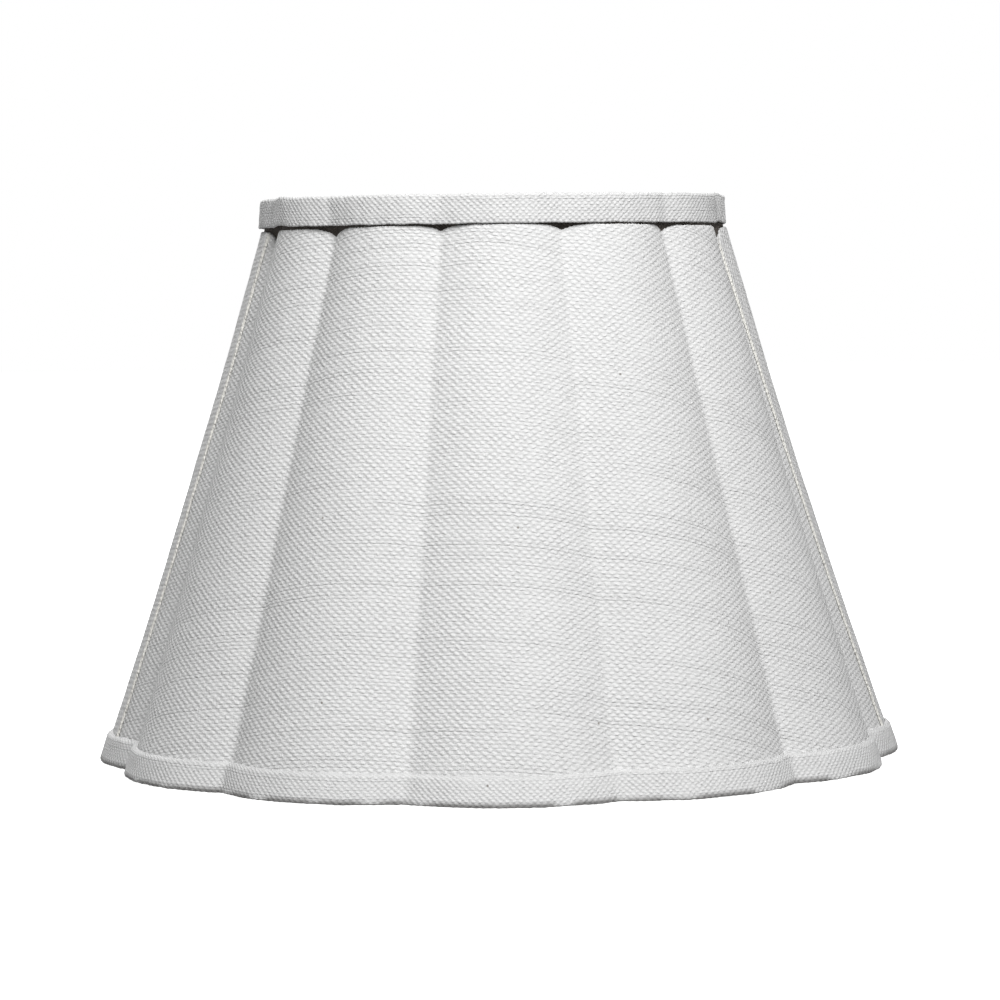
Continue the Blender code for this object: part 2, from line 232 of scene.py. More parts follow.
def makeStudio():
    scene = bpy.context.scene
    scene.view_settings.view_transform = "Standard"
    world = bpy.data.worlds.new("studio")
    scene.world = world
    world.use_nodes = True
    tree = world.node_tree
    tree.nodes.clear()
    path = tree.nodes.new("ShaderNodeLightPath")
    soft = tree.nodes.new("ShaderNodeBackground")
    soft.inputs["Strength"].default_value = studio["ambient"]
    white = tree.nodes.new("ShaderNodeBackground")
    white.inputs["Strength"].default_value = studio["backdrop"]
    for part in (soft, white):
        part.inputs["Color"].default_value = (1, 1, 1, 1)
    either = tree.nodes.new("ShaderNodeMixShader")
    out = tree.nodes.new("ShaderNodeOutputWorld")
    tree.links.new(path.outputs["Is Camera Ray"], either.inputs[0])
    tree.links.new(soft.outputs[0], either.inputs[1])
    tree.links.new(white.outputs[0], either.inputs[2])
    tree.links.new(either.outputs[0], out.inputs["Surface"])
    areaLight("keyLight", studio["key"])
    areaLight("backLight", studio["back"])
    bpy.ops.mesh.primitive_plane_add(size=studio["floorSize"], location=(0, 0, 0))
    floor = bpy.context.active_object
    floor.name = "floor"
    floor.location.z = -studio["floorDrop"]
    floor.visible_diffuse = False   # a white floor that throws no light up
    finish = Finish("paleFloor", roughness=0.9)
    finish.shader.inputs["Base Color"].default_value = studio["floorColour"]
    finish.shader.inputs["Emission Color"].default_value = (1, 1, 1, 1)
    finish.shader.inputs["Emission Strength"].default_value = studio["floorGlow"]
    floor.data.materials.append(finish.material)


class Value:  # a socket that takes part in sums
    def __init__(self, finish, socket):
        self.finish = finish
        self.socket = socket

    def maths(self, operation, *others):
        inputs = {index: value for index, value in enumerate(others)}
        return self.finish.node("ShaderNodeMath", {"operation": operation}, inputs)

    def __add__(self, other):
        return self.maths("ADD", self, other)

    __radd__ = __add__

    def __sub__(self, other):
        return self.maths("SUBTRACT", self, other)

    def __rsub__(self, other):
        return self.maths("SUBTRACT", other, self)

    def __mul__(self, other):
        return self.maths("MULTIPLY", self, other)

    __rmul__ = __mul__

    def __truediv__(self, other):
        return self.maths("DIVIDE", self, other)

    def __pow__(self, other):
        return self.maths("POWER", self, other)


class Finish:  # a material and the nodes that paint it
    def __init__(self, name, roughness=0.9, metallic=0.0):
        self.material = bpy.data.materials.new(name)
        self.material.use_nodes = True
        self.tree = self.material.node_tree
        self.shader = self.tree.nodes["Principled BSDF"]
        self.shader.inputs["Roughness"].default_value = roughness
        self.shader.inputs["Metallic"].default_value = metallic

    def feed(self, socket, value):
        if isinstance(value, Value):
            self.tree.links.new(value.socket, socket)
        else:
            socket.default_value = value

    def node(self, kind, settings=None, inputs=None, output=0):
        made = self.tree.nodes.new(kind)
        for key, value in (settings or {}).items():
            setattr(made, key, value)
        for key, value in (inputs or {}).items():
            self.feed(made.inputs[key], value)
        return Value(self, made.outputs[output])

    def paint(self, name, value):
        self.feed(self.shader.inputs[name], value)

    def blend(self, share, first, second):  # colours
        return self.node("ShaderNodeMix", {"data_type": "RGBA"},
                         {0: share, 6: first, 7: second}, output=2)

    def between(self, value, low, high):  # 0 below low, 1 above high, smooth between
        return self.node("ShaderNodeMapRange", {"interpolation_type": "SMOOTHSTEP"},
                         {"Value": value, "From Min": low, "From Max": high})

    def speckle(self, vector, scale, detail=2.0):
        return self.node("ShaderNodeTexNoise", {"noise_dimensions": "3D"},
                         {"Vector": vector, "Scale": scale, "Detail": detail})

    def vector(self, x, y, z):
        return self.node("ShaderNodeCombineXYZ", {}, {0: x, 1: y, 2: z})

    def cells(self, vector, scale, output=0):  # distance to the nearest dot, or that dot's colour
        return self.node("ShaderNodeTexVoronoi", {"voronoi_dimensions": "2D"},
                         {"Vector": vector, "Scale": scale}, output)

    def mark(self, name):  # a number painted on the mesh
        return self.node("ShaderNodeAttribute", {"attribute_name": name}, output=2)

    def bump(self, height, distance, strength):
        made = self.node("ShaderNodeBump", {},
                         {"Height": height, "Distance": distance, "Strength": strength})
        self.paint("Normal", made)


def sine(value):
    return value.maths("SINE", value * math.pi)


def size(value):
    return value.maths("ABSOLUTE", value)


def sign(value):
    return value.maths("SIGN", value)


def floorOf(value):
    return value.maths("FLOOR", value)


threads = {   # what every woven cloth here shares
    "driftScale": 1.3,      # the wefts wander a little more finely than the warps
    "weftSlubs": 28, "warpSlubs": 34, "looseRuns": 5.5,     # per metre
    "weftSpread": 0.73, "warpSpread": 0.61, "looseSpread": 1.37,    # from row to row
    "plump": 0.05, "plumpBy": (0.70, 0.50, 0.70),   # by weft slub, by warp slub, by chance
    "roundness": 0.75,
    "dashAlong": 0.5, "dashAcross": 2.5, "dash": 0.3, "dashBy": (0.5, 0.7),    # by warp slub, by chance
    "looseFrom": (0.565, 0.69), "looseEdge": (0.1, 0.75), "looseBreaks": (-0.25, 0.15),
    "looseSink": 0.36,
    "fibre": 2600.0, "patch": 22.0, "patchDepth": 0.5,
    "speckSize": (0.006, 0.017), "speckShare": (0.80, 0.81), "speckDepth": 0.7,
    "speckColour": (0.13, 0.10, 0.07, 1),
    # strengths of the painted shade along the foot and of the painted highlight on the turned side edges
    "footShadeDepth": 0.85, "fold": 0.65, "foldHighlightByFibre": 0.4,
    "sheenRoughness": 0.6, "specular": 0.25,
}


def clothFinish(name, look):
    t = threads
    finish = Finish(name, roughness=look["roughness"])
    where = finish.node("ShaderNodeUVMap", {"uv_map": "cut"})
    across = finish.node("ShaderNodeSeparateXYZ", {}, {0: where}, output=0)
    along = finish.node("ShaderNodeSeparateXYZ", {}, {0: where}, output=1)
    wander = finish.speckle(where, look["wanderScale"]) - 0.5
    turned = finish.vector(along, across, 3.7)
    drift = finish.speckle(turned, look["wanderScale"] * t["driftScale"]) - 0.5
    waver = finish.speckle(where, look["waverScale"], 1.0) - 0.5
    warp = across / look["warpPitch"] + wander * look["wander"] + waver * look["waver"]
    weft = along / look["weftPitch"] + drift * look["wander"] - waver * look["waver"]
    warpSwing = sine(warp)
    weftSwing = sine(weft)
    warpRow = floorOf(warp)
    weftRow = floorOf(weft)
    warpWidth = size(warpSwing)
    weftWidth = size(weftSwing)
    over = sign(warpSwing) * sign(weftSwing)   # 1 where the weft lies on top, -1 where the warp does
    weftOver = over.maths("MAXIMUM", over, 0.0)
    luck = finish.node("ShaderNodeTexWhiteNoise", {"noise_dimensions": "3D"},
                       {"Vector": finish.vector(warpRow, weftRow, 0.5)})
    # each thread is thick and thin along its length
    weftSlub = finish.speckle(
        finish.vector(across * t["weftSlubs"], weftRow * t["weftSpread"], 1.3), 1.0)
    warpSlub = finish.speckle(
        finish.vector(warpRow * t["warpSpread"], along * t["warpSlubs"], 8.1), 1.0)
    byWeft, byWarp, byLuck = t["plumpBy"]
    plump = t["plump"] + byWeft * weftSlub + byWarp * warpSlub + byLuck * luck
    crossing = (warpWidth * weftWidth) ** t["roundness"] * over * plump
    height = 0.5 + look["crossing"] * crossing + look["rowRise"] * weftWidth
    # painted shade: the thin shadow between two wefts where the warp lies on top
    byWarp, byLuck = t["dashBy"]
    dash = warpWidth ** t["dashAlong"] * weftWidth ** t["dashAcross"] * (1 - weftOver)
    dash = dash * (t["dash"] + byLuck * luck + byWarp * warpSlub)
    # long thin lines where a weft lies loose in its row
    loose = finish.speckle(
        finish.vector(across * t["looseRuns"], weftRow * t["looseSpread"], 5.2), 1.0, 1.0)
    line = finish.between(loose, *t["looseFrom"]) * (1 - finish.between(weftWidth, *t["looseEdge"]))
    line = line * finish.between(waver, *t["looseBreaks"])
    fibre = finish.speckle(where, t["fibre"], 3.0)
    relief = height + fibre * look["fuzz"] - line * t["looseSink"]
    finish.bump(relief, look["relief"], look["bump"])

    patch = finish.speckle(where, t["patch"], 3.0) * t["patchDepth"] + (0.5 - t["patchDepth"] / 2)
    # painted light: the thread colour is lighter where a weft crossing stands up and darker where a warp
    # crossing sinks, over random patches
    thread = finish.blend(patch + look["crossing"] * 0.5 * crossing, *look["thread"])
    # painted shade in the dashes, and random fibre tone, both mixed towards the gap colour
    dark = dash * look["dashDepth"] + (0.5 - fibre) * look["grit"]
    colour = finish.blend(dark, thread, look["gap"])
    colour = finish.blend(line * look["lineDepth"], colour, look["gap"])
    if look["specks"]:
        fleck = finish.cells(where, look["specks"])
        pick = finish.cells(where, look["specks"], output=1)
        few = finish.between(finish.node("ShaderNodeSeparateColor", {}, {0: pick}), *t["speckShare"])
        spot = (1 - finish.between(fleck, *t["speckSize"])) * few
        colour = finish.blend(spot * t["speckDepth"], colour, t["speckColour"])
    # painted shade: a thin dark line along the outer edge of the foot
    if look["footShade"]:
        colour = finish.blend(finish.mark("footShade") * t["footShadeDepth"], colour, look["footShade"])
    # painted highlight: the back half's turned side edges lighter, where the fold catches the light
    if look["fold"]:
        foldHighlight = finish.mark("fold") * (t["fold"] + t["foldHighlightByFibre"] * fibre)
        colour = finish.blend(foldHighlight, colour, look["fold"])
    finish.paint("Base Color", colour)
    finish.shader.inputs["Sheen Weight"].default_value = look["sheen"]
    finish.shader.inputs["Sheen Roughness"].default_value = t["sheenRoughness"]
    finish.shader.inputs["Specular IOR Level"].default_value = t["specular"]
    return finish.material


# Pitches and relief are metres; wanderScale, waverScale and specks are per metre.
linenLook = {
    "roughness": 0.95, "warpPitch": 0.00183, "weftPitch": 0.00156,
    "wanderScale": 45.0, "wander": 0.9, "waverScale": 650.0, "waver": 0.9,
    "relief": 0.00038, "bump": 1.0, "fuzz": 0.55, "crossing": 0.5, "rowRise": 0.45,
    "thread": ((0.77, 0.77, 0.768, 1), (0.90, 0.90, 0.898, 1)), "gap": (0.42, 0.418, 0.415, 1),
    "dashDepth": 0.30, "grit": 0.14, "lineDepth": 0.40, "specks": 24.0,
    # the fold colour is the painted highlight on the back half's turned side edges
    "fold": (0.90, 0.885, 0.83, 1), "footShade": None, "sheen": 0.08,
}
plainLook = dict(linenLook, fold=None)
# the band's darkest colour is painted shade for the line along the foot
bandLook = dict(plainLook, warpPitch=0.00138, weftPitch=0.00124, wander=0.7,
                relief=0.00042, crossing=0.38, rowRise=0.18, dashDepth=0.26,
                footShade=(0.16, 0.155, 0.15, 1))
liningLook = dict(plainLook, warpPitch=0.00062, weftPitch=0.00058, relief=0.00015, bump=0.5,
                  thread=((0.84, 0.835, 0.80, 1), (0.88, 0.875, 0.84, 1)),
                  gap=(0.66, 0.655, 0.62, 1), lineDepth=0.1, specks=0)
tapeLook = dict(plainLook, warpPitch=0.0008, weftPitch=0.0007, relief=0.0003,
                thread=((0.120, 0.102, 0.087, 1), (0.190, 0.166, 0.145, 1)),
                gap=(0.030, 0.026, 0.022, 1), lineDepth=0.2, specks=0, sheen=0.1)


def metalFinish(name, look):
    finish = Finish(name, metallic=look["metallic"])
    where = finish.node("ShaderNodeTexCoord", output=3)
    cloud = finish.speckle(where, look["cloud"], 4.0)
    grain = finish.speckle(where, look["grain"], 2.0)
    finish.paint("Base Color", finish.blend(cloud, *look["colours"]))
    low, high = look["roughness"]
    finish.paint("Roughness", low + cloud * (high - low))
    finish.bump(grain, look["relief"], look["bump"])
    return finish.material


wireLook = {"metallic": 0.0, "cloud": 60.0, "grain": 900.0, "relief": 0.00005, "bump": 0.6,
            "colours": ((0.80, 0.79, 0.75, 1), (0.88, 0.87, 0.83, 1)), "roughness": (0.35, 0.55)}
brassLook = {"metallic": 1.0, "cloud": 90.0, "grain": 1600.0, "relief": 0.00003, "bump": 0.6,
             "colours": ((0.70, 0.53, 0.27, 1), (0.83, 0.68, 0.42, 1)), "roughness": (0.25, 0.45)}

makeCamera()
makeStudio()
print("camera, floor and light")

finishes = {
    "linen": clothFinish("linen", linenLook),
    "band": clothFinish("linenBand", bandLook),
    "lining": clothFinish("liningCloth", liningLook),
    "tape": clothFinish("darkTape", tapeLook),
    "wire": metalFinish("whiteWire", wireLook),
    "brass": metalFinish("satinBrass", brassLook),
}
print("finishes:", ", ".join(finishes))


cover = {
    "thickness": 0.00045,
    "columnsPerLobe": 60,
    "seamColumns": (12, 48),    # between the last valley and the seam, front half and back half
    "rows": 66,
    "hemHeight": 0.0036,
    "hemTuck": 0.0012,
    "bandTop": 0.0123,
    "underTopBand": 0.2361,
    "frontGap": 0.0008,
    "sideGap": 0.0011,
    "frontNotch": 0.0025,
    "sideNotch": 0.0040,
    "sideNotchPower": 1.4,
    "notchSharpness": 6,
    "dips": [(45, 5.0, -0.0010), (74.5, 3.0, 0.0054)],  # angle and width in degrees, depth
    "leftSeam": (82.5, 79.0),   # degrees from the front, at the foot and at the rim
    "rightSeam": (82.3, 75.3),
    "lap": 0.0010,
    "lapWidth": 0.008,
    "underlap": 0.0030,
    "underlapSink": 0.00030,
    "underlapEase": (0.0015, 0.003),
    "foldHighlightWidth": 0.0017,
    "turnDrop": (0.00020, 0.00010),     # of the last plain row, and of the turned rows
    "threadSteps": 0.00034,
    "threadStepsSize": 0.006,
    "edgeWave": 0.0002,
    "edgeWaveSize": 0.002,
    "slack": (0.00040, 0.00016),
    "slackSize": (0.030, 0.008),
    "tightRim": 0.03,
    "turnedRow": 0.0006,
    "tilt": math.radians(-4.5),
}
# a turned edge: how far past the edge and how deep behind the face each point lies
turnedEdge = [
    (0.00028, 0.00010), (0.00046, 0.00047), (0.00028, 0.00084), (0, 0.00094), (-0.004, 0.00094),
]


def seamAngle(z, right):
    low, high = cover["rightSeam"] if right else cover["leftSeam"]
    return math.radians(low + (high - low) * z / form["height"])


def coverTop(angle):
    side = math.sin(angle) ** 2
    fromCrest = abs(turnInLobe(angle)) / halfPitch
    notch = cover["frontNotch"] + cover["sideNotch"] * side ** cover["sideNotchPower"]
    notch *= fromCrest ** cover["notchSharpness"]
    for at, wide, deep in cover["dips"]:
        notch += deep * math.exp(-((math.degrees(roundTo(angle)) - at) / wide) ** 2)
    return cover["underTopBand"] - cover["frontGap"] - cover["sideGap"] * side - notch


def coverColumns(front):
    step = 2 * halfPitch / cover["columnsPerLobe"]
    first = -5 * halfPitch if front else 7 * halfPitch
    inner = [first + step * k for k in range(5 * cover["columnsPerLobe"] + 1)]
    short = cover["seamColumns"][0 if front else 1]
    edge = [] if front else turnedEdge
    columns = [("start", 0, past, depth) for past, depth in reversed(edge)]
    columns += [("start", k / short, 0, 0) for k in range(short)]
    columns += [("inner", angle, 0, 0) for angle in inner]
    columns += [("end", (k - 1) / short, 0, 0) for k in range(short, 0, -1)]
    columns += [("end", 0, past, depth) for past, depth in edge]
    return columns, inner[0], inner[-1]


def makeCover(name, front):
    columns, firstValley, lastValley = coverColumns(front)
    low, high = cover["hemHeight"], cover["bandTop"]
    plainRows = cover["rows"]
    lastRow = plainRows + len(turnedEdge)

    def angleAt(i, z):
        kind, value, past = columns[i][:3]
        if kind == "inner":
            return value
        seam = seamAngle(z, front == (kind == "end"))
        if front:
            edge = seam + cover["underlap"] / roughRadius(z)
            angle = edge + (lastValley - edge) * value
            return -angle if kind == "start" else angle
        angle = seam - past / roughRadius(z) + (firstValley - seam) * value
        return angle if kind == "start" else 2 * math.pi - angle

    def raised(angle, z):
        if front:
            toEdge = (seamAngle(z, angle > 0) - abs(angle)) * roughRadius(z)
            before, width = cover["underlapEase"]
            return -cover["underlapSink"] * ease(1 - (toEdge + before) / width)
        toEdge = min(angle, 2 * math.pi - angle) - seamAngle(z, angle < math.pi)
        return cover["lap"] * ease(1 - toEdge * roughRadius(z) / cover["lapWidth"])

    def heightAt(i, j):
        if j == 0:
            return low
        angle = angleAt(i, cover["underTopBand"])
        share = (min(j, plainRows) - 1) / (plainRows - 1)
        z = high + (coverTop(angle) - high) * share
        if j == plainRows:
            z -= cover["turnDrop"][0]
        if j > plainRows:
            z += turnedEdge[j - plainRows - 1][0] - cover["turnDrop"][1]
        if j >= plainRows:
            z -= cover["threadSteps"] * (i % 2) * (0.5 + ripple(angle, 0, cover["threadStepsSize"], 4.0))
            z -= cover["edgeWave"] * ripple(angle, 0, cover["edgeWaveSize"], 4.0)
        return z

    def point(i, j):
        z = heightAt(i, j)
        angle = angleAt(i, z)
        depth = columns[i][3]
        if j > plainRows:
            depth = max(depth, turnedEdge[j - plainRows - 1][1])
        if j == 0:
            depth = depth + cover["hemTuck"]
        radius = softReach(clothArc(z), angle, form["valleySoftness"])
        middle = ease(z / cover["tightRim"]) * ease((form["height"] - z) / cover["tightRim"])
        broad = cover["slack"][0] * ripple(angle, z * 0.6, cover["slackSize"][0], 0.0)
        fine = cover["slack"][1] * ripple(angle, z, cover["slackSize"][1], 9.0)
        return place(radius + raised(angle, z) - depth + (broad + fine) * middle, angle, z)

    bottoms = [point(i, 1) for i in range(len(columns))]
    tops = [point(i, plainRows - 1) for i in range(len(columns))]
    flat, heading = unroll(bottoms, tops, len(columns) // 2)
    lengths = [(top - bottom).length for bottom, top in zip(bottoms, tops)]
    turn = Matrix.Rotation(-cover["tilt"], 2)

    def cut(i, j):
        up = lengths[i] * (min(j, plainRows) - 1) / (plainRows - 2)
        if j > plainRows:
            up += cover["turnedRow"] * (j - plainRows)
        return turn @ (flat[i] + heading[i] * up)

    piece = clothSheet(name, len(columns) - 1, lastRow, point, cut, cover["thickness"])
    paintFoldHighlight(piece, front)
    return piece


def unroll(bottoms, tops, middle):  # where each column's foot lands on the flat cloth, and its heading
    count = len(bottoms)
    flat = [None] * count
    heading = [None] * count
    facing = math.pi / 2
    flat[middle] = Vector((0, 0))
    heading[middle] = Vector((0, 1))
    for step in (1, -1):
        turn = facing
        i = middle
        while 0 <= i + step < count:
            edge = bottoms[i + step] - bottoms[i]
            here = (tops[i] - bottoms[i]).angle(edge)
            there = (tops[i + step] - bottoms[i + step]).angle(edge)
            way = turn - step * here
            flat[i + step] = flat[i] + Vector((math.cos(way), math.sin(way))) * edge.length
            turn = way + step * there
            heading[i + step] = Vector((math.cos(turn), math.sin(turn)))
            i += step
    return flat, heading


def paintFoldHighlight(piece, front):  # paints a highlight on the crest of the back half's turned side edges, where the fold catches the light
    mark = piece.data.attributes.new("fold", "FLOAT", "POINT")
    for vertex in piece.data.vertices:
        x, y, z = vertex.co
        fromSeam = (abs(math.atan2(x, -y)) - seamAngle(z, x > 0)) * math.hypot(x, y)
        foldHighlight = ease(1 - max(0.0, fromSeam) / cover["foldHighlightWidth"])
        mark.data[vertex.index].value = 0.0 if front else foldHighlight


def dress(piece, flat, nodes, finish="linen"):
    piece.data.materials.clear()
    piece.data.materials.append(finishes[finish])
    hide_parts(*nodes)


frontCover = makeCover("coverFront", True)
backCover = makeCover("coverBack", False)
print("cover halves")


bandSetup = {
    "columnsPerLobe": 60,
    "join": math.pi + halfPitch * 0.4,
    "wave": ((0.0005, 0.012), (0.0003, 0.0025)),    # height and length
    "bulge": ((0.0004, 0.010), (0.0003, 0.003)),
    "threadSteps": 0.00012,
}


# Each point of a band's path is its height, its share of the way from the outer outline to the
# inner one, its inset, how freely it wavers, and the inner outline where it isn't the band's own.
def bandSheet(name, path, outerArc, innerArc, setup):
    columns = form["lobes"] * bandSetup["columnsPerLobe"]
    angles = [bandSetup["join"] + 2 * math.pi * k / columns for k in range(columns + 1)]
    (wave, waveSize), (fineWave, fineWaveSize) = bandSetup["wave"]
    (bulge, bulgeSize), (fineBulge, fineBulgeSize) = bandSetup["bulge"]
    seed = setup["seed"]

    def point(i, j):
        z, share, inset, freedom = path[j][:4]
        target = path[j][4] if len(path[j]) > 4 else innerArc
        angle = angles[i % columns]
        outer = softReach(outerArc(z), angle, setup["softness"])
        inner = softReach(target, angle, setup["softness"] / 2)
        radius = outer + (inner - outer) * share - inset
        lump = sum(high * math.exp(-(roundTo(angle - at) / wide) ** 2)
                   for at, wide, high in setup["lumps"])
        swell = wave * ripple(angle, 0, waveSize, seed) + fineWave * ripple(angle, 0, fineWaveSize, 2.0)
        lift = lump + swell * setup["waviness"] + bandSetup["threadSteps"] * (i % 2 - 0.5)
        fullness = (bulge * ripple(angle, z, bulgeSize, seed + 3)
                    + fineBulge * ripple(angle, z, fineBulgeSize, 7.0))
        spot = place(radius + fullness * abs(freedom), angle, z + lift * freedom)
        return spot + Vector((setup["shift"], 0, 0))

    runs = girth(outerArc(setup["middle"]), angles)
    ups = [0.0]
    for pair in zip(path, path[1:]):
        radii = [reach(outerArc(z), 0) * (1 - share) + reach(innerArc, 0) * share - inset
                 for z, share, inset in (end[:3] for end in pair)]
        ups.append(ups[-1] + math.hypot(pair[1][0] - pair[0][0], radii[1] - radii[0]))
    piece = clothSheet(name, columns, len(path) - 1, point,
                       lambda i, j: (runs[i], ups[j]), setup["thickness"], closed=True)
    print(name, "cut", round(runs[-1], 3), "by", round(ups[-1], 4))
    return piece, (runs[-1], ups[-1])


def rounded(centreZ, centreInset, radiusZ, radiusInset, fromTurn, toTurn, steps):
    points = []
    for k in range(1, steps + 1):
        turn = math.radians(fromTurn + (toTurn - fromTurn) * k / steps)
        points.append((centreZ + radiusZ * math.sin(turn), 0,
                       centreInset - radiusInset * math.cos(turn), 1.0))
    return points


topBandSetup = {
    "low": 0.2360, "rise": 0.0006, "proud": 0.0009, "lean": 0.0008, "valley": 0.00305,
    "thickness": 0.00062, "hem": 0.0080, "fold": 0.00067, "foldSteps": 6,
    "roll": 0.0013, "rollSteps": 4, "rollDip": 0.0009,
    "face": [(0.0025, 0.8), (0.005, 0.6), (0.0075, 0.6), (0.0095, 0.8)],    # up from low, freedom
    "inside": [(0.0014, 0.0006, 0.2), (0.0020, 0.0009, 0.1), (0.0045, 0.0009, 0.1),
               (0.0075, 0.0008, 0.3)],  # down from the top, inset, freedom
    "ringHeight": 0.2444, "ringInset": 0.0058, "softness": math.radians(1.6),
    "waviness": 0.55, "shift": -0.0006, "seed": 5.0, "middle": 0.2417,
    "lumps": [(math.radians(-66), math.radians(4), 0.0006), (math.radians(77), math.radians(5), 0.0008)],
}


def makeTopBand():
    s = topBandSetup
    low, top = s["low"], form["height"] + s["rise"]
    crest = sum(clothArc(low)) + s["proud"]

    def outerArc(z):
        wide = crest - s["lean"] * (z - low) / (top - low)
        return arcThrough(wide, wide - s["valley"])

    innerArc = insetArc(clothArc(s["ringHeight"]), s["ringInset"])
    fold, roll = s["fold"], s["roll"]
    path = [(low + s["hem"], 0, 2 * fold, 0.0), (low + s["hem"] / 2, 0, 2 * fold, -0.5),
            (low + fold, 0, 2 * fold, 1.0)]
    path += rounded(low + fold, fold, -fold, -fold, 0, 180, s["foldSteps"])
    path += [(low + up, 0, 0, freedom) for up, freedom in s["face"]]
    path.append((top - roll, 0, 0, 1.0))
    path += rounded(top - roll, roll, roll, roll, 0, 90, s["rollSteps"])
    for share in (0.25, 0.5, 0.75, 1.0):
        path.append((top - s["rollDip"] * share ** 2, share, roll * (1 - share), 1.0 - 0.7 * share))
    path += [(top - down, 1, inset, freedom) for down, inset, freedom in s["inside"]]
    return bandSheet("bandTop", path, outerArc, innerArc, s)


bottomBandSetup = {
    "high": 0.0123, "proud": 0.0020, "valley": 0.0092, "corner": 0.0008, "flare": 1.0,
    "cornerSteps": 4, "lift": 0.00005,
    "inside": [(0.0080, 0.0008, 0.2), (0.0055, 0.0009, 0.1), (0.0016, 0.0009, 0.1),
               (0.0004, 0.0006, 0.0)],  # height, inset, freedom
    "face": [(0.0028, 0.6), (0.0050, 0.6), (0.0075, 0.6)],  # height, freedom
    "roll": 0.0015, "rollProud": 0.0001,
    "behind": [0.0012, 0.0040], "behindInset": 0.0004,
    "thickness": 0.00052, "ringHeight": 0.0036, "ringInset": 0.0070, "softness": math.radians(0.5),
    "waviness": 0.8, "shift": 0, "seed": 15.0, "middle": 0.006, "lumps": [],
    # where the painted shade line along the foot lies
    "footShadeHeight": (0.0015, 0.0008), "footShadeReach": (0.0022, 0.0012),
    "footShadeWave": 0.0016, "footShadeScale": 60,
}


def bottomBandArc(z):
    s = bottomBandSetup
    slope = (form["bottomCrest"] - form["topCrest"]) / form["height"]
    crest = sum(clothArc(s["high"])) + s["proud"] + slope * (s["high"] - z) * s["flare"]
    return arcThrough(crest, crest - s["valley"])


def makeBottomBand():
    s = bottomBandSetup
    high, corner, lift = s["high"], s["corner"], s["lift"]
    innerArc = insetArc(clothArc(s["ringHeight"]), s["ringInset"])
    path = [(z, 1, inset, freedom) for z, inset, freedom in s["inside"]]
    for share in (1, 0.75, 0.5, 0.25):
        path.append((lift, share, corner * (1 - share), 0.0))
    path.append((lift, 0, corner, 0.5))
    path += rounded(corner, corner, -corner, corner, 90, 0, s["cornerSteps"])
    path += [(z, 0, 0, freedom) for z, freedom in s["face"]]
    for degrees in range(0, 91, 15):
        turn = math.radians(degrees)
        path.append((high - s["roll"] * (1 - math.sin(turn)), 1 - math.cos(turn),
                     -s["rollProud"] * math.sin(turn), 1.0, clothArc(high)))
    for drop in s["behind"]:
        path.append((high - drop, 1, s["behindInset"], 0.2, clothArc(high - drop)))
    return bandSheet("bandBottom", path, bottomBandArc, innerArc, s)


def paintFootShade(piece):  # painted shade: a thin dark line along the outer edge of the foot, where the band's underside lies in shadow
    s = bottomBandSetup
    mark = piece.data.attributes.new("footShade", "FLOAT", "POINT")
    footArc = bottomBandArc(0)
    for vertex in piece.data.vertices:
        x, y, z = vertex.co
        inward = reach(footArc, math.atan2(x, -y)) - math.hypot(x, y)
        height = z + s["footShadeWave"] * noise.noise(vertex.co * s["footShadeScale"])
        low = ease((s["footShadeHeight"][0] - height) / s["footShadeHeight"][1])
        mark.data[vertex.index].value = low * ease((s["footShadeReach"][0] - inward) / s["footShadeReach"][1])


bandTop, topCut = makeTopBand()
bandBottom, bottomCut = makeBottomBand()
paintFootShade(bandBottom)


tapeSetup = {
    "thickness": 0.0005, "columnsPerLobe": 30, "softness": math.radians(0.8),
    "wrap": 0.0023, "innerLeg": 0.0050, "legSteps": 5,
    "top": {"ring": 0.2444, "inset": 0.0035, "legInset": 0.0012, "legEnd": form["height"] - 0.0230},
    "bottom": {"ring": 0.0036, "inset": 0.0047, "legInset": 0.0024, "legEnd": 0.0100},
}


def makeTape(name, top):
    s = tapeSetup
    end = s["top"] if top else s["bottom"]
    ringZ, ringInset, legEnd = end["ring"], end["inset"], end["legEnd"]
    wrap, way = s["wrap"], (1 if top else -1)
    ringArc = insetArc(clothArc(ringZ), ringInset)
    legZ = [legEnd + (ringZ - legEnd) * k / s["legSteps"] for k in range(s["legSteps"])]
    points = [(z, insetArc(clothArc(z), end["legInset"])) for z in legZ]
    for degrees in range(0, 181, 20):
        turn = math.radians(degrees)
        points.append((ringZ + way * wrap * math.sin(turn), insetArc(ringArc, -wrap * math.cos(turn))))
    endZ = ringZ - way * s["innerLeg"]
    endArc = min(ringArc, insetArc(clothArc(endZ), ringInset), key=sum)
    for share in (0.5, 1.0):
        mixed = tuple(a + (b - a) * share for a, b in zip(ringArc, endArc))
        points.append((ringZ + (endZ - ringZ) * share, insetArc(mixed, wrap)))
    if not top:
        points.reverse()
    columns = form["lobes"] * s["columnsPerLobe"]
    angles = [math.pi + 2 * math.pi * k / columns for k in range(columns + 1)]

    def point(i, j):
        z, arc = points[j]
        angle = angles[i % columns]
        return place(softReach(arc, angle, s["softness"]), angle, z)

    runs = girth(ringArc, angles)
    ups = [0.0]
    for (z1, arc1), (z2, arc2) in zip(points, points[1:]):
        ups.append(ups[-1] + math.hypot(z2 - z1, sum(arc2) - sum(arc1)))
    piece = clothSheet(name, columns, len(points) - 1, point,
                       lambda i, j: (runs[i], ups[j]), s["thickness"], closed=True)
    print(name, "cut", round(runs[-1], 3), "by", round(ups[-1], 4))
    return piece, (runs[-1], ups[-1])


tapeTop, tapeTopCut = makeTape("tapeTop", True)
tapeBottom, tapeBottomCut = makeTape("tapeBottom", False)


lining = {
    "thickness": 0.0004, "columnsPerLobe": 30, "rows": 40, "low": 0.0092, "high": 0.2352,
    "lowInset": 0.0066, "highInset": 0.0054, "softness": math.radians(1.2),
    "seam": math.radians(80.5), "seamGap": 0.003,
    "slack": 0.0005, "slackSize": 0.02, "tightRim": 0.03,
}


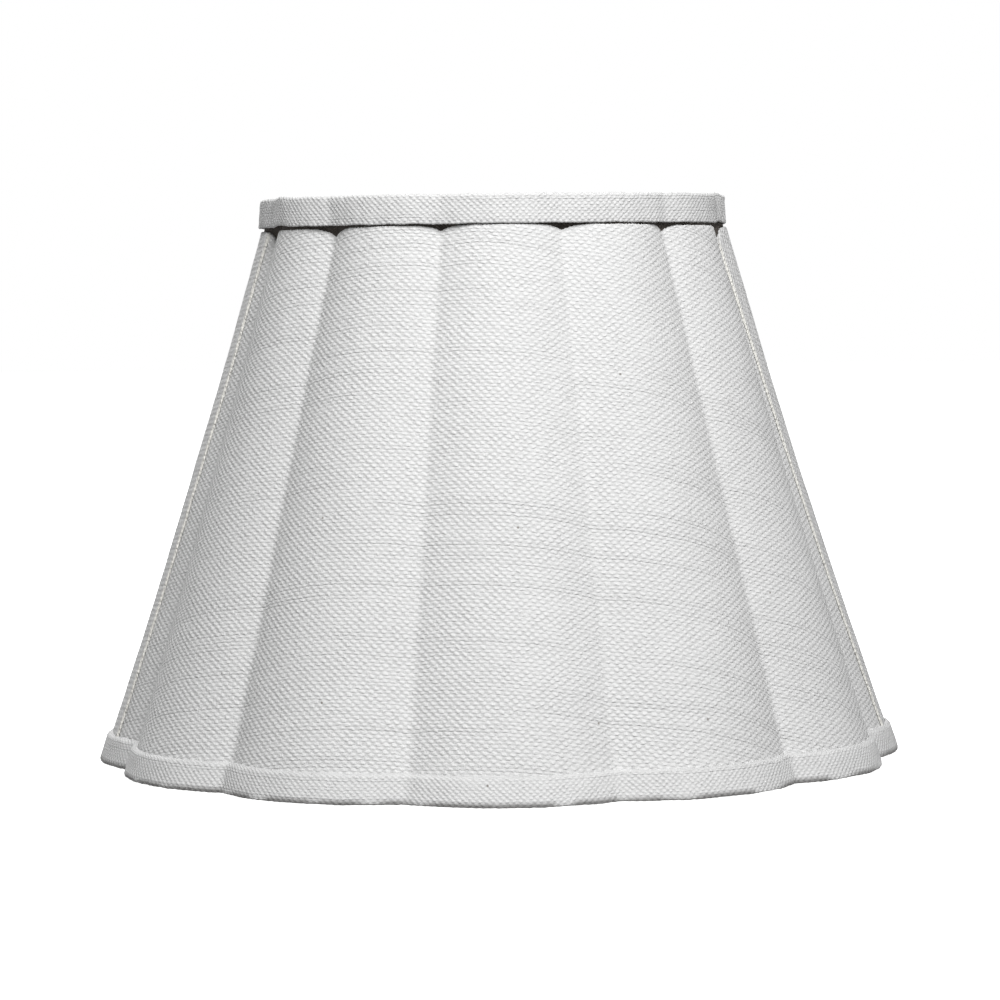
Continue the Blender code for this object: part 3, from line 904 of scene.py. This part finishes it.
def makeLining(name, front):
    seam, gap = lining["seam"], lining["seamGap"]
    if front:
        start, end = -seam, seam
    else:
        start, end = seam + gap, 2 * math.pi - seam - gap
    columns = round((end - start) / (2 * halfPitch) * lining["columnsPerLobe"])
    lowRing, highRing = tapeSetup["bottom"]["ring"], tapeSetup["top"]["ring"]
    angles = [start + (end - start) * k / columns for k in range(columns + 1)]

    def point(i, j):
        z = lining["low"] + (lining["high"] - lining["low"]) * j / lining["rows"]
        rise = (z - lowRing) / (highRing - lowRing)
        inset = lining["lowInset"] + (lining["highInset"] - lining["lowInset"]) * rise
        radius = softReach(insetArc(clothArc(z), inset), angles[i], lining["softness"])
        slack = lining["slack"] * ripple(angles[i], z * 0.5, lining["slackSize"], 31.0)
        middle = (ease((z - lining["low"]) / lining["tightRim"])
                  * ease((lining["high"] - z) / lining["tightRim"]))
        return place(radius + min(0, slack) * middle, angles[i], z)

    bottoms = [point(i, 0) for i in range(columns + 1)]
    tops = [point(i, lining["rows"]) for i in range(columns + 1)]
    flat, heading = unroll(bottoms, tops, columns // 2)
    lengths = [(top - bottom).length for bottom, top in zip(bottoms, tops)]
    return clothSheet(name, columns, lining["rows"], point,
                      lambda i, j: flat[i] + heading[i] * lengths[i] * j / lining["rows"],
                      lining["thickness"])


liningFront = makeLining("liningFront", True)
liningBack = makeLining("liningBack", False)
print("tapes and lining")

dress(frontCover, (0.50, 0.34), ["front_cover"])
dress(backCover, (0.58, 0.36), ["back_cover"])
dress(bandTop, topCut, ["top_band"], "band")
dress(bandBottom, bottomCut, ["bottom_band"], "band")
dress(tapeTop, tapeTopCut, ["top_tape"], "tape")
dress(tapeBottom, tapeBottomCut, ["bottom_tape"], "tape")
dress(liningFront, (0.46, 0.32), ["front_lining"], "lining")
dress(liningBack, (0.54, 0.34), ["back_lining"], "lining")


washerSetup = {
    "radius": 0.0140, "hole": 0.0055, "thickness": 0.0020, "height": 0.2300,
    "sides": 96, "soft": 0.00035, "softSteps": 3, "smoothUpTo": math.radians(30),
}


def makeWasher():
    w = washerSetup
    bpy.ops.object.select_all(action="DESELECT")
    bpy.ops.mesh.primitive_circle_add(vertices=w["sides"], radius=w["hole"],
                                      location=(0, 0, w["height"] - w["thickness"] / 2))
    piece = bpy.context.active_object
    piece.name = "washer"
    bpy.ops.object.mode_set(mode="EDIT")
    bpy.ops.mesh.select_all(action="SELECT")
    bpy.ops.mesh.extrude_region_move()
    grow = w["radius"] / w["hole"]
    bpy.ops.transform.resize(value=(grow, grow, 1))
    bpy.ops.mesh.select_all(action="SELECT")
    bpy.ops.mesh.normals_make_consistent(inside=False)
    bpy.ops.object.mode_set(mode="OBJECT")
    bpy.ops.object.transform_apply(location=True, rotation=True, scale=True)
    wall = piece.modifiers.new("wall", "SOLIDIFY")
    wall.thickness = w["thickness"]
    wall.offset = 1 if piece.data.polygons[0].normal.z > 0 else -1
    bpy.ops.object.modifier_apply(modifier="wall")
    soft = piece.modifiers.new("soft", "BEVEL")
    soft.width = w["soft"]
    soft.segments = w["softSteps"]
    soft.limit_method = "ANGLE"
    bpy.ops.object.modifier_apply(modifier="soft")
    bpy.ops.object.shade_smooth_by_angle(angle=w["smoothUpTo"])
    return piece


washerPiece = makeWasher()
washerPiece.data.materials.append(finishes["brass"])
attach(washerPiece, "root")
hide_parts("spider_washer")
print("washer")

for name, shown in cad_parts.items():
    if name.startswith(("rib_", "top_ring", "bottom_ring")):
        wanted = finishes["wire"]
    elif name.startswith("spider_arm"):
        wanted = finishes["brass"]
    else:
        continue
    shown.data.materials.clear()
    shown.data.materials.append(wanted)
